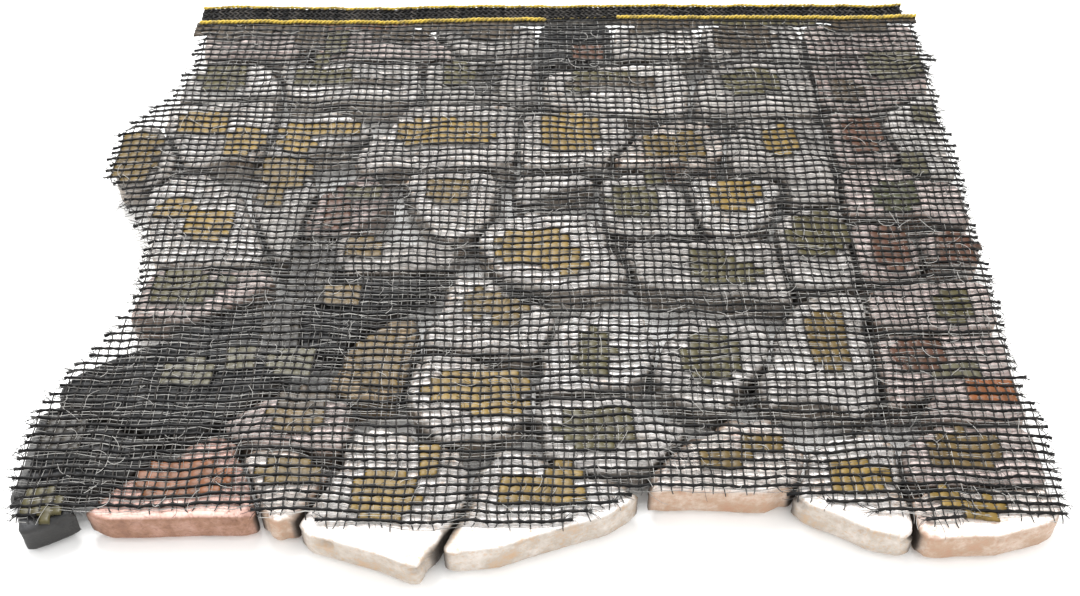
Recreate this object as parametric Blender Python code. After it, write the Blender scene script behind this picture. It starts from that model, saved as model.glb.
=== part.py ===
"""A sheet of natural stone mosaic, lying on its show faces with its backing net upwards.

Metres, +Z up. The sheet lies on the XY plane, +X to the right and +Y towards the net's selvedge.
The origin is the middle of the sheet's box, on the surface it lies on.

Every stone is a flat piece with a sawn back, worn corners and a tumbled show face. The net is one
thin sheet that lies over the stones' backs and steps from one thickness of stone to the next.
"""

import math
import random

import bmesh
import bpy
from mathutils import Vector

# The sheet, from the outermost corners of the plan below. The plan's corners are in millimetres at
# this size: x to the right of the sheet's middle line, y down from the selvedge.
SHEET_WIDTH = 0.314
SHEET_LENGTH = 0.271

# Stones. Each one is sawn a little thinner than the full thickness.
STONE_THICKNESS = 0.0132
THICKNESS_SPREAD = 0.0009
CORNER_REACH = 0.0038
FACE_EASE = 0.0026
BACK_EASE = 0.0013
EDGE_WAVE = 0.0007
WAVE_SPACING = 0.019
SEED = 11

# A corner that turns less than the first angle stays a point, and one that turns less than the
# second gets a single flat across it.
POINT_TURN = math.radians(24)
FLAT_TURN = math.radians(72)
CORNER_SHARE = 0.4

# Backing net, taken as a solid sheet as thick as its knots.
NET_CLEARANCE = 0.0003
NET_THICKNESS = 0.0009
NET_CELL = 0.0125
SELVEDGE_WIDTH = 0.0095
SELVEDGE_THICKNESS = 0.0018
SELVEDGE_STEP = 0.001

# The finish of each kind of stone: colour and roughness.
FINISHES = {
    "white": ((0.72, 0.70, 0.67), 0.6),
    "grey": ((0.46, 0.45, 0.44), 0.6),
    "rose": ((0.45, 0.36, 0.34), 0.6),
    "cream": ((0.70, 0.60, 0.49), 0.6),
    "tan": ((0.46, 0.36, 0.26), 0.65),
    "red": ((0.50, 0.24, 0.18), 0.6),
    "black": ((0.045, 0.047, 0.05), 0.55),
}
NET_FINISH = ((0.02, 0.02, 0.022), 0.45)

# The plan, from the selvedge down and from left to right: each stone's kind and corners.
PLAN = [
    ("rose", [(-136, 13), (-114, 12), (-112, 18), (-109, 13), (-92, 14), (-94, 26), (-103, 31),
              (-135, 30)]),
    ("rose", [(-89, 12), (-47, 12), (-32, 31), (-88, 31)]),
    ("grey", [(-43, 11), (-3, 11), (-3, 29), (-30, 30)]),
    ("black", [(0, 10), (29, 10), (27, 32), (4, 36), (0, 30)]),
    ("white", [(31, 11), (62, 12), (65, 29), (29, 30)]),
    ("grey", [(66, 11), (104, 10), (105, 31), (68, 31)]),
    ("rose", [(107, 10), (151, 9), (151, 24), (128, 28), (108, 30)]),
    ("white", [(-135, 33), (-110, 32), (-102, 48), (-101, 53), (-141, 56), (-139, 43)]),
    ("white", [(-103, 33), (-48, 33), (-47, 57), (-97, 56)]),
    ("grey", [(-45, 33), (-3, 31), (-2, 57), (-44, 58)]),
    ("white", [(2, 40), (30, 35), (57, 31), (56, 64), (38, 64), (3, 60)]),
    ("grey", [(69, 34), (105, 33), (107, 65), (60, 65), (61, 49)]),
    ("rose", [(108, 33), (129, 30), (152, 27), (152, 46), (136, 60), (127, 62), (109, 61)]),
    ("grey", [(-150, 70), (-143, 74), (-133, 93), (-141, 106), (-154, 106), (-158, 92), (-156, 78)]),
    ("white", [(-144, 59), (-102, 56), (-101, 73), (-104, 90), (-131, 94), (-141, 73)]),
    ("white", [(-98, 66), (-76, 63), (-63, 72), (-68, 80), (-86, 88), (-101, 90)]),
    ("white", [(-52, 61), (-20, 59), (-9, 60), (-9, 93), (-35, 95), (-67, 97), (-70, 91), (-58, 74)]),
    ("white", [(-5, 64), (29, 65), (35, 72), (33, 81), (21, 96), (-7, 96), (-7, 84)]),
    ("cream", [(41, 73), (56, 67), (68, 74), (68, 83), (64, 94), (30, 95), (27, 91), (36, 80)]),
    ("grey", [(75, 69), (107, 69), (107, 115), (90, 115), (91, 101), (70, 97), (71, 81)]),
    ("rose", [(110, 64), (127, 65), (133, 92), (119, 90), (110, 95)]),
    ("grey", [(152, 50), (138, 61), (130, 66), (136, 96), (141, 100), (153, 101)]),
    ("white", [(-144, 110), (-129, 98), (-120, 99), (-110, 108), (-98, 133), (-93, 144), (-134, 145),
               (-137, 132)]),
    ("grey", [(-105, 94), (-84, 91), (-81, 105), (-87, 127), (-84, 140), (-90, 144), (-96, 132),
              (-102, 115)]),
    ("rose", [(-76, 106), (-67, 100), (-58, 101), (-54, 110), (-55, 119), (-67, 129), (-82, 131),
              (-81, 117)]),
    ("white", [(-50, 99), (-16, 98), (-16, 116), (-24, 132), (-35, 133), (-44, 120)]),
    ("grey", [(-9, 99), (18, 98), (20, 105), (9, 107), (-8, 115)]),
    ("grey", [(22, 101), (37, 98), (50, 105), (56, 130), (27, 131), (23, 118)]),
    ("white", [(53, 101), (72, 100), (88, 103), (82, 117), (78, 128), (59, 129)]),
    ("rose", [(110, 97), (121, 94), (132, 97), (140, 103), (153, 104), (153, 126), (136, 121),
              (110, 121)]),
    ("rose", [(-134, 148), (-92, 148), (-89, 154), (-103, 163), (-116, 170), (-138, 171)]),
    ("grey", [(-80, 136), (-68, 132), (-31, 135), (-27, 141), (-31, 147), (-79, 149)]),
    ("white", [(-8, 119), (18, 119), (23, 134), (30, 152), (14, 158), (2, 157), (-12, 150), (-22, 138),
               (-20, 128)]),
    ("grey", [(27, 137), (38, 133), (81, 132), (85, 162), (64, 160), (34, 156), (34, 143)]),
    ("grey", [(89, 118), (107, 117), (108, 155), (88, 156), (84, 142), (84, 125)]),
    ("rose", [(111, 124), (126, 124), (131, 134), (131, 148), (110, 153)]),
    ("rose", [(134, 129), (153, 129), (153, 144), (138, 145), (133, 138)]),
    ("black", [(-79, 152), (-33, 150), (-45, 160), (-62, 176), (-67, 183), (-77, 185), (-80, 170)]),
    ("black", [(-152, 195), (-137, 185), (-98, 165), (-85, 168), (-80, 191), (-92, 203), (-108, 219),
               (-118, 218), (-154, 203)]),
    ("black", [(-157, 208), (-149, 208), (-121, 222), (-118, 226), (-126, 232), (-141, 238), (-156, 237),
               ]),
    ("black", [(-157, 241), (-142, 243), (-137, 247), (-146, 252), (-153, 255)]),
    ("white", [(-28, 149), (-18, 150), (-11, 161), (4, 165), (4, 173), (-2, 186), (-22, 183), (-38, 181),
               (-33, 163)]),
    ("tan", [(-48, 170), (-42, 168), (-41, 184), (-45, 203), (-54, 207), (-69, 198), (-61, 183)]),
    ("white", [(13, 165), (35, 166), (37, 184), (31, 199), (-1, 201), (2, 184), (8, 171)]),
    ("grey", [(48, 167), (75, 172), (73, 188), (64, 197), (60, 209), (46, 207), (36, 198), (42, 181)]),
    ("grey", [(93, 158), (108, 158), (107, 206), (100, 213), (91, 205), (71, 207), (70, 197),
              (77, 188), (79, 172)]),
    ("rose", [(111, 157), (138, 152), (153, 152), (153, 172), (136, 175), (111, 172)]),
    ("rose", [(110, 178), (152, 177), (153, 212), (119, 212), (127, 202), (123, 200), (111, 210)]),
    ("white", [(-38, 185), (-24, 187), (-4, 197), (-4, 212), (-14, 220), (-31, 220), (-43, 205),
               (-40, 192)]),
    ("grey", [(-1, 204), (30, 202), (34, 211), (47, 213), (36, 227), (30, 232), (14, 231), (2, 226)]),
    ("cream", [(52, 217), (63, 212), (73, 212), (78, 219), (80, 230), (72, 241), (32, 240), (38, 228)]),
    ("white", [(85, 220), (107, 216), (109, 257), (97, 254), (76, 243), (83, 230)]),
    ("rose", [(118, 216), (153, 216), (154, 236), (112, 236), (112, 223)]),
    ("rose", [(-99, 214), (-87, 205), (-76, 199), (-62, 203), (-58, 213), (-62, 225), (-72, 222),
              (-95, 219)]),
    ("cream", [(-91, 225), (-73, 225), (-70, 230), (-64, 233), (-71, 244), (-75, 251), (-80, 251),
               (-86, 236)]),
    ("red", [(-99, 218), (-94, 223), (-88, 236), (-84, 249), (-130, 250), (-135, 246), (-114, 228)]),
    ("white", [(-55, 214), (-46, 214), (-37, 223), (-23, 225), (-24, 246), (-32, 255), (-34, 267),
               (-71, 254), (-61, 230)]),
    ("white", [(-7, 222), (0, 228), (12, 234), (24, 236), (30, 242), (20, 249), (-12, 260),
               (-28, 262), (-20, 245), (-17, 228)]),
    ("cream", [(112, 240), (155, 239), (156, 248), (149, 252), (135, 256), (112, 257)]),
]

# A stone with a rough split side, and how far that side runs out, in the plan, as it goes down.
SPLIT_SIDES = {"black_stone_04": (-7, 2)}

# The net's cut edge, from the far left corner round by the near edge. It is ragged on the left.
NET_OUTLINE = [
    (-139, -1), (-139, 12), (-136, 19), (-135, 30), (-139, 43), (-141, 52), (-147, 62), (-155, 74),
    (-158, 83), (-158, 94), (-156, 104), (-150, 108), (-147, 118), (-140, 127), (-136, 136), (-135, 152),
    (-137, 166), (-141, 180), (-150, 193), (-157, 207), (-157, 238), (-155, 250), (-143, 247), (-85, 247),
    (-70, 248), (-58, 253), (-24, 252), (5, 251), (16, 248), (28, 240), (72, 240), (98, 247),
    (112, 250), (155, 249), (154, 205), (152, 175), (152, 100), (154, 30), (153, 5), (149, -3), (30, -4),
]


def clear_scene():
    for thing in list(bpy.data.objects):
        bpy.data.objects.remove(thing)


def finish_material(name, finish):
    """A Principled material with a plain colour and roughness."""
    colour, roughness = finish
    material = bpy.data.materials.new(name)
    material.use_nodes = True
    surface = material.node_tree.nodes["Principled BSDF"]
    surface.inputs["Base Color"].default_value = (*colour, 1.0)
    surface.inputs["Roughness"].default_value = roughness
    surface.inputs["Metallic"].default_value = 0.0
    return material


def plan_scale():
    """The metres that one unit of the plan stands for, across the sheet and along it."""
    points = [point for _, corners in PLAN for point in corners] + NET_OUTLINE
    xs = [x for x, _ in points]
    ys = [y for _, y in points]
    return Vector((SHEET_WIDTH / (max(xs) - min(xs)), SHEET_LENGTH / (max(ys) - min(ys))))


def from_plan(points):
    """Points of the plan in metres, listed anticlockwise as seen from above."""
    scale = plan_scale()
    placed = [Vector((x * scale.x, -y * scale.y)) for x, y in points]
    doubled_area = sum(a.cross(b) for a, b in zip(placed, placed[1:] + placed[:1]))
    return placed if doubled_area > 0 else placed[::-1]


def with_neighbours(corners):
    """Each corner with the one before it and the one after it."""
    return zip(corners[-1:] + corners[:-1], corners, corners[1:] + corners[:1])


def inset_corners(corners, inset):
    """The corners of the same outline with every side moved inwards."""
    moved = []
    for before, corner, after in with_neighbours(corners):
        arriving = (corner - before).normalized()
        leaving = (after - corner).normalized()
        both = arriving + leaving
        inward = Vector((-both.y, both.x))
        moved.append(corner + inward * inset / (1 + arriving.dot(leaving)))
    return moved


def corner_steps(before, corner, after):
    """How many straight pieces the worn corner has: none, one or two."""
    turn = (corner - before).angle(after - corner)
    if turn < POINT_TURN:
        return 0
    return 1 if turn < FLAT_TURN else 2


def worn_sides(corners, chance):
    """For each side, how far in each of its middle points is worn."""
    sides = []
    for corner, after in zip(corners, corners[1:] + corners[:1]):
        count = int((after - corner).length / WAVE_SPACING)
        sides.append([EDGE_WAVE * chance.random() for _ in range(count)])
    return sides


def worn_outline(corners, steps, sides):
    """The outline with its corners worn round and its sides worn in a little here and there."""
    outline = []
    trios = list(with_neighbours(corners))
    for (before, corner, after), count, wear in zip(trios, steps, sides):
        arriving = corner - before
        leaving = after - corner
        reach = min(CORNER_REACH, CORNER_SHARE * arriving.length, CORNER_SHARE * leaving.length)
        start = corner - arriving.normalized() * reach
        end = corner + leaving.normalized() * reach
        if count == 0:
            outline.append(corner)
        else:
            for step in range(count + 1):
                along = step / count
                outline.append(start.lerp(corner, along).lerp(corner.lerp(end, along), along))
        inward = Vector((-leaving.y, leaving.x)).normalized()
        for place, depth in enumerate(wear, start=1):
            outline.append(corner.lerp(after, place / (len(wear) + 1)) + inward * depth)
    return outline


def splayed(outline, splay):
    """The outline pulled towards splay, most where it already reaches furthest that way."""
    way = splay.normalized()
    reaches = [point.dot(way) for point in outline]
    nearest, furthest = min(reaches), max(reaches)
    middle = (nearest + furthest) / 2
    return [
        point + splay * max(0.0, (reach - middle) / (furthest - middle))
        for point, reach in zip(outline, reaches)
    ]


def closed_stack(rings):
    """Vertices and faces of a closed body through equal rings of points, from bottom to top."""
    size = len(rings[0])
    vertices = [point for ring in rings for point in ring]
    faces = [tuple(reversed(range(size)))]
    for level in range(len(rings) - 1):
        low, high = level * size, (level + 1) * size
        for at in range(size):
            beside = (at + 1) % size
            faces.append((low + at, low + beside, high + beside, high + at))
    top = (len(rings) - 1) * size
    faces.append(tuple(range(top, top + size)))
    return vertices, faces


def add_object(name, vertices, faces, material, panel):
    """A named mesh object on the panel, with its own middle as its origin."""
    middle = sum((Vector(point) for point in vertices), Vector((0, 0, 0))) / len(vertices)
    middle.z = 0.0
    mesh = bpy.data.meshes.new(name)
    mesh.from_pydata([Vector(point) - middle for point in vertices], [], faces)
    mesh.validate()
    mesh.shade_smooth()
    mesh.set_sharp_from_angle(angle=math.radians(40))
    mesh.materials.append(material)
    piece = bpy.data.objects.new(name, mesh)
    piece.location = middle
    piece.parent = panel
    bpy.context.collection.objects.link(piece)
    return piece


def stone_rings(corners, thickness, splay, chance):
    """The stone's outline at its show face, above and below its straight sides, and at its back."""
    steps = [corner_steps(*trio) for trio in with_neighbours(corners)]
    sides = worn_sides(corners, chance)
    levels = [
        (FACE_EASE, 0.0),
        (0.0, FACE_EASE),
        (0.0, thickness - BACK_EASE),
        (BACK_EASE, thickness),
    ]
    rings = []
    for inset, height in levels:
        outline = worn_outline(inset_corners(corners, inset), steps, sides)
        if splay is not None and height < thickness / 2:
            outline = splayed(outline, splay)
        rings.append([Vector((point.x, point.y, height)) for point in outline])
    return rings


def build_stones(panel):
    """One object for each stone of the plan. Returns its corners and thickness for the net."""
    chance = random.Random(SEED)
    materials = {kind: finish_material(f"{kind}_stone", finish) for kind, finish in FINISHES.items()}
    laid = []
    counts = dict.fromkeys(FINISHES, 0)
    for kind, points in PLAN:
        counts[kind] += 1
        name = f"{kind}_stone_{counts[kind]:02d}"
        corners = from_plan(points)
        thickness = STONE_THICKNESS - THICKNESS_SPREAD * chance.random()
        split = SPLIT_SIDES.get(name)
        splay = from_plan([split])[0] if split else None
        vertices, faces = closed_stack(stone_rings(corners, thickness, splay, chance))
        add_object(name, vertices, faces, materials[kind], panel)
        laid.append((corners, thickness))
    return laid


def distance_to_outline(point, corners):
    """How far a point is from a polygon, and 0 inside it."""
    nearest = math.inf
    inside = False
    for a, b in zip(corners, corners[1:] + corners[:1]):
        side = b - a
        along = min(1.0, max(0.0, (point - a).dot(side) / side.length_squared))
        nearest = min(nearest, (a + side * along - point).length)
        if (a.y > point.y) != (b.y > point.y):
            crossing = a.x + (point.y - a.y) / side.y * side.x
            inside = inside != (point.x < crossing)
    return 0.0 if inside else nearest


def resting_height(point, laid):
    """The highest back among the stones that a cell of the net can reach from this point."""
    cell_reach = 1.5 * NET_CELL
    near = [depth for corners, depth in laid if distance_to_outline(point, corners) < cell_reach]
    return max(near, default=STONE_THICKNESS - THICKNESS_SPREAD)


def cut_across(sheet, place, normal):
    """Cuts the flat sheet along a line."""
    everything = sheet.verts[:] + sheet.edges[:] + sheet.faces[:]
    bmesh.ops.bisect_plane(sheet, geom=everything, dist=1e-6, plane_co=place, plane_no=normal)


def steps_between(low, high, step):
    """Evenly spaced places strictly between two ends, at most step apart."""
    count = math.ceil((high - low) / step)
    return [low + (high - low) * at / count for at in range(1, count)]


def build_net(panel, laid):
    """The net as a closed thin sheet, with a thicker selvedge along its far edge."""
    outline = from_plan(NET_OUTLINE)
    sheet = bmesh.new()
    sheet.faces.new([sheet.verts.new((point.x, point.y, 0.0)) for point in outline])
    xs = [point.x for point in outline]
    ys = [point.y for point in outline]
    for x in steps_between(min(xs), max(xs), NET_CELL):
        cut_across(sheet, (x, 0, 0), (1, 0, 0))
    for y in steps_between(min(ys), -SELVEDGE_WIDTH - SELVEDGE_STEP, NET_CELL):
        cut_across(sheet, (0, y, 0), (0, 1, 0))
    for y in (-SELVEDGE_WIDTH, -SELVEDGE_WIDTH - SELVEDGE_STEP):
        cut_across(sheet, (0, y, 0), (0, 1, 0))
    for corner in sheet.verts:
        corner.co.z = resting_height(corner.co.to_2d(), laid) + NET_CLEARANCE
    bmesh.ops.triangulate(sheet, faces=sheet.faces[:])
    sheet.verts.index_update()
    count = len(sheet.verts)
    low = [corner.co.copy() for corner in sheet.verts]
    high = []
    for corner in low:
        in_selvedge = corner.y > -SELVEDGE_WIDTH - SELVEDGE_STEP / 2
        high.append(corner + Vector((0, 0, SELVEDGE_THICKNESS if in_selvedge else NET_THICKNESS)))
    faces = []
    for face in sheet.faces:
        ring = [corner.index for corner in face.verts]
        faces.append(tuple(reversed(ring)))
        faces.append(tuple(at + count for at in ring))
    for edge in sheet.edges:
        if edge.is_boundary:
            loop = edge.link_loops[0]
            a, b = loop.vert.index, loop.link_loop_next.vert.index
            faces.append((a, b, b + count, a + count))
    sheet.free()
    add_object("backing_net", low + high, faces, finish_material("backing_net", NET_FINISH), panel)


def centre(panel):
    """Moves the panel so that the middle of its box is over the origin."""
    corners = [
        piece.location + vertex.co
        for piece in panel.children
        for vertex in piece.data.vertices
    ]
    panel.location.x = -(min(c.x for c in corners) + max(c.x for c in corners)) / 2
    panel.location.y = -(min(c.y for c in corners) + max(c.y for c in corners)) / 2


def main():
    clear_scene()
    panel = bpy.data.objects.new("panel", None)
    bpy.context.collection.objects.link(panel)
    laid = build_stones(panel)
    build_net(panel, laid)
    centre(panel)


main()
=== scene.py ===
# %% [markdown]
# # A net-backed sheet of stone mosaic
#
# The object is a sheet of "crazy paving" mosaic, seen from its back. Pieces of tumbled marble lie on
# their show faces, a knitted plastic net lies over their sawn backs, and dabs of hardened glue in the
# net's meshes hold each stone to it. This lesson builds the looks of that sheet around a fixed frame:
# worn stones, draped net, glue, the knitted selvedge and the frayed ends.
#
# ## The frame
#
# The frame holds each stone and the net as a plain solid at its real size. Every piece that is made
# here is measured from it, so nothing has to be fitted afterwards.

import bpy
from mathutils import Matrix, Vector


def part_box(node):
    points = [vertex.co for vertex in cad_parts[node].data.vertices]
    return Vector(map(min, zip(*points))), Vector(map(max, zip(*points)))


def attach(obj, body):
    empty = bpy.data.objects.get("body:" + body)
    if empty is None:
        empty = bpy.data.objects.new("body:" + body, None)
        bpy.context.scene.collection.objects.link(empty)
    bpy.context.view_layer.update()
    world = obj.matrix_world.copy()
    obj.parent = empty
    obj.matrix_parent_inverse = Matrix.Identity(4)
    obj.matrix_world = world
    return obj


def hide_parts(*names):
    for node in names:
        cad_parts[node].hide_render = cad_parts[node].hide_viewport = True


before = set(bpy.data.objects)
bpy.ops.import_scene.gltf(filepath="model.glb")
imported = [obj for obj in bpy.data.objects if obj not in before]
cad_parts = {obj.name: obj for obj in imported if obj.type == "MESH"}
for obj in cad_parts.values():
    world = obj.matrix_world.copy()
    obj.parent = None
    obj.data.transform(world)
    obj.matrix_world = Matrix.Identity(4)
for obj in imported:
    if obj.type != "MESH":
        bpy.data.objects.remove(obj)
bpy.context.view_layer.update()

# %% The modules that the lesson uses
import math
import random
from functools import partial

import bmesh
import bpy
import numpy as np
from mathutils import Vector, noise
from mathutils.bvhtree import BVHTree

MM = 0.001

# %% [markdown]
# ## The plan
#
# Places on the sheet are given as on a drawing: millimetres to the right of the middle line, and
# millimetres down from the selvedge. The net's solid tells where that drawing lies in the scene,
# because its right edge and its far edge are at known places on it.

# %% From the plan to the scene
NET_RIGHT = 155.0
NET_FAR = -4.0

net_low, net_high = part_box("backing_net")
PLAN_X = net_high[0] - NET_RIGHT * MM
PLAN_Y = net_high[1] + NET_FAR * MM


def on_plan(across, down):
    """Scene x and y of a place on the plan. It takes numbers or arrays."""
    return PLAN_X + across * MM, PLAN_Y - down * MM


print("plan origin at", PLAN_X, PLAN_Y)

# %% [markdown]
# ## The camera
#
# The camera looks down at 47 degrees, from 35 cm above the sheet. The net's threads gave the angle:
# they are evenly spaced on the real sheet, so the way their spacing shrinks towards the far edge
# fixes the height, the tilt and the lens together.

# %% Camera
CAMERA_DOWN = 486.5
CAMERA_ABOVE_NET = 0.352
NET_LEVEL = 0.0138
LOOKS_DOWN = math.radians(47.3)

lens = bpy.data.cameras.new("camera")
lens.lens = 47.6
lens.sensor_width = 36.0
lens.sensor_fit = "HORIZONTAL"
lens.clip_start = 0.01
camera = bpy.data.objects.new("camera", lens)
camera.location = (*on_plan(0.0, CAMERA_DOWN), NET_LEVEL + CAMERA_ABOVE_NET)
camera.rotation_euler = (math.pi / 2 - LOOKS_DOWN, 0.0, 0.0)
bpy.context.scene.collection.objects.link(camera)
bpy.context.scene.camera = camera

# %% [markdown]
# ## Helpers for colours, nodes and attributes
#
# A colour given here is an sRGB value, and shaders work in linear light, so one function turns
# one into the other. One function adds a node of any kind, for materials and for geometry.

# %% Colours, nodes and attributes
def linear(code):
    """An sRGB hex colour as linear red, green, blue and full alpha."""
    parts = [int(code[at : at + 2], 16) / 255 for at in (1, 3, 5)]
    return (*(p / 12.92 if p <= 0.04045 else ((p + 0.055) / 1.055) ** 2.4 for p in parts), 1.0)


def add_node(tree, kind, settings=None, links=None):
    """Adds a node, sets its properties or unlinked inputs, and links its other inputs.

    The "ShaderNode" of a kind's name is left out. A node that is given as the source of a link
    stands for its first output.
    """
    whole = kind.startswith(("Geometry", "Node"))
    node = tree.nodes.new(kind if whole else "ShaderNode" + kind)
    for name, value in (settings or {}).items():
        if isinstance(name, str) and hasattr(node, name):
            setattr(node, name, value)
        else:
            node.inputs[name].default_value = value
    for name, source in (links or {}).items():
        tree.links.new(getattr(source, "outputs", [source])[0], node.inputs[name])
    return node


def set_attribute(mesh, name, values, kind="FLOAT"):
    """Stores one value for each vertex."""
    layer = mesh.attributes.new(name, kind, "POINT")
    field = "color" if kind == "FLOAT_COLOR" else "value"
    layer.data.foreach_set(field, np.asarray(values, dtype=np.float32).ravel())


def new_object(name, data):
    """An object in the scene."""
    made = bpy.data.objects.new(name, data)
    bpy.context.scene.collection.objects.link(made)
    return made


def modified(thing):
    """The mesh that an object's modifiers make of it. The object itself is removed."""
    graph = bpy.context.evaluated_depsgraph_get()
    mesh = bpy.data.meshes.new_from_object(thing.evaluated_get(graph))
    bpy.data.objects.remove(thing)
    return mesh


def new_piece(name, mesh, *materials):
    """A finished piece at the origin, riding on the sheet."""
    piece = new_object(name, mesh)
    mesh.materials.clear()
    for material in materials:
        mesh.materials.append(material)
    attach(piece, "root")
    return piece


def new_material(name, roughness, ior=1.5):
    """A material, what adds nodes to it, its shader, and the Object coordinates for patterns."""
    material = bpy.data.materials.new(name)
    material.use_nodes = True
    add = partial(add_node, material.node_tree)
    shader = material.node_tree.nodes["Principled BSDF"]
    shader.inputs["Roughness"].default_value = roughness
    shader.inputs["IOR"].default_value = ior
    return material, add, shader, add("TexCoord").outputs["Object"]


def dress(shader, colour, bump=None):
    """Gives the shader its mixed colour and, if there is one, its bump."""
    links = shader.id_data.links
    links.new(colour.outputs[2], shader.inputs["Base Color"])
    if bump:
        links.new(bump.outputs["Normal"], shader.inputs["Normal"])


# %% [markdown]
# ## Marble
#
# The stones are marble and limestone, sawn into slabs, broken up and tumbled. Sawing leaves a flat,
# dull back. Tumbling rounds the broken sides and leaves them finely pitted. The colour is a cloudy
# mix of two tones, with soft veins and a fine grain. The broken sides are rougher and browner than
# the sawn back, and darker as painted shade. The walls of the joints are darkened almost to black
# as painted shade of the narrow gaps, and iron has left tan stains.
#
# All the kinds of stone share one pattern and differ in their colours, so one function makes them.
# Three attributes of the mesh steer it: "tone" is one number for each stone, "side" is 1 on a broken
# side, and "joint" is 1 on a side that faces another stone.

# %% Stone materials
CLOUD_MM = 17.0
VEIN_MM = 26.0
GRAIN_MM = 1.1
PIT_MM = 0.8
STAIN_MM = 9.0

# For each kind: light and dark tone, veins, stains and broken sides. The broken sides' colour is the
# browner broken stone, made darker as painted shade.
STONE_LOOKS = {
    "white": ("#f8f5f4", "#e9e3df", "#d6cdc5", "#b08c66", "#a3988c"),
    "grey": ("#e6e1de", "#c3bcb7", "#e6e1db", "#8a7861", "#7c7268"),
    "rose": ("#dccbc6", "#b39f9a", "#e0d4cd", "#84624f", "#8a7668"),
    "cream": ("#f2eae4", "#ddccc0", "#f3ece2", "#a2745a", "#a08670"),
    "tan": ("#b59f81", "#877253", "#c2b092", "#624a30", "#6a583f"),
    "red": ("#ead0c8", "#cfa497", "#ecd8d1", "#64402f", "#85604a"),
    "black": ("#212326", "#0c0d0e", "#5a5a5d", "#25231f", "#1d1c1b"),
}


def marble(kind):
    """Cloudy two-toned marble with veins, grain and stains, and painted shade on sides and joints."""
    light, dark, vein, stain, broken_side_and_shade = (linear(code) for code in STONE_LOOKS[kind])
    material, add, shader, place = new_material(f"{kind} marble, sawn and tumbled", 0.62, 1.49)
    tone, joint, side = (
        add("Attribute", {"attribute_name": name}).outputs["Fac"]
        for name in ("tone", "joint", "side")
    )
    cloud = add(
        "TexNoise",
        {"Scale": 1 / (CLOUD_MM * MM), "Detail": 6.0, "Roughness": 0.62, "Distortion": 0.6},
        {"Vector": place})
    toned = add("Math", {"operation": "ADD"}, {0: cloud, 1: tone})
    shade = add("MapRange", {"From Min": 0.45, "From Max": 1.55}, {"Value": toned})
    body = add("Mix", {"data_type": "RGBA", 6: dark, 7: light}, {0: shade})
    streak = add(
        "TexNoise", {"Scale": 1 / (VEIN_MM * MM), "Detail": 4.0, "Distortion": 1.6},
        {"Vector": place})
    offset = add("Math", {"operation": "SUBTRACT", 1: 0.5}, {0: streak})
    distance = add("Math", {"operation": "ABSOLUTE"}, {0: offset})
    line = add("MapRange", {"From Max": 0.04, "To Min": 0.3, "To Max": 0.0}, {"Value": distance})
    veined = add("Mix", {"data_type": "RGBA", 7: vein}, {0: line, 6: body.outputs[2]})
    grain = add("TexNoise", {"Scale": 1 / (GRAIN_MM * MM), "Detail": 2.0}, {"Vector": place})
    speck = add("MapRange", {"From Min": 0.52, "From Max": 0.72, "To Max": 0.5}, {"Value": grain})
    patch = add(
        "TexNoise", {"Scale": 1 / (STAIN_MM * MM), "Detail": 5.0, "Roughness": 0.7},
        {"Vector": place})
    bare = add(
        "MapRange", {"From Min": 0.36, "From Max": 0.56, "To Min": 0.7},
        {"Value": patch})
    bared = add("Math", {"operation": "MULTIPLY"}, {0: bare, 1: side})
    # The steep sides take the broken colour: browner broken stone, and darker as painted shade.
    sides_with_shade = add("Mix", {"data_type": "RGBA", 7: broken_side_and_shade}, {0: bared, 6: veined.outputs[2]})
    grained = add("Mix", {"data_type": "RGBA", 7: stain}, {0: speck, 6: sides_with_shade.outputs[2]})
    rust = add("MapRange", {"From Min": 0.56, "From Max": 0.72, "To Max": 0.7}, {"Value": patch})
    stained = add("Mix", {"data_type": "RGBA", 7: stain}, {0: rust, 6: grained.outputs[2]})
    # Painted shade: the walls of the joints are mixed almost to near-black, as the narrow gaps' shadow.
    dust_and_joint_shade = add("Math", {"operation": "MULTIPLY", 1: 0.92}, {0: joint})
    finished = add(
        "Mix", {"data_type": "RGBA", 7: linear("#2d2620")}, {0: dust_and_joint_shade, 6: stained.outputs[2]})
    pits = add(
        "TexNoise", {"Scale": 1 / (PIT_MM * MM), "Detail": 3.0, "Roughness": 0.7}, {"Vector": place})
    bump = add("Bump", {"Strength": 0.7, "Distance": 0.0003}, {"Height": pits})
    dress(shader, finished, bump)
    return material


stone_materials = {kind: marble(kind) for kind in STONE_LOOKS}
print("stone materials:", ", ".join(stone_materials))

# %% [markdown]
# ## Worn stones
#
# A sawn and tumbled stone has no sharp corner and no truly flat side. It could be sculpted, or
# bevelled by hand. Here each solid is remeshed into even small faces, smoothed a little, and then
# worn inwards by noise. The sawn back keeps nearly all of its flatness, the broken sides lose most,
# and small chips are broken from the back's rim. Where a joint is wide, its two sides first swell
# towards each other, and the outermost stones swell towards the selvedge and the net's right edge.
# The stones of the near edge are seen bare, so their faces are finer.

# %% Which stones there are
stone_nodes = {name: node for name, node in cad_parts.items() if "_stone_" in name}


def joined_skin(node):
    """A solid's loose triangles as one closed skin."""
    skin = bmesh.new()
    skin.from_mesh(node.data)
    bmesh.ops.remove_doubles(skin, verts=skin.verts[:], dist=0.01 * MM)
    return skin


def tree_of(nodes):
    """One search tree over the triangles of several solids."""
    corners = []
    faces = []
    for node in nodes:
        skin = joined_skin(node)
        faces += [[corner.index + len(corners) for corner in face.verts] for face in skin.faces]
        corners += [corner.co.copy() for corner in skin.verts]
        skin.free()
    return BVHTree.FromPolygons(corners, faces)


def top_of(tree, x, y):
    """Height of the solids' top at a place in the scene, or None beside them."""
    hit = tree.ray_cast(Vector((x, y, 1.0)), Vector((0.0, 0.0, -1.0)))[0]
    return None if hit is None else hit.z


stones_tree = tree_of(stone_nodes.values())
net_tree = tree_of([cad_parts["backing_net"]])
print("stones:", len(stone_nodes))

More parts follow.
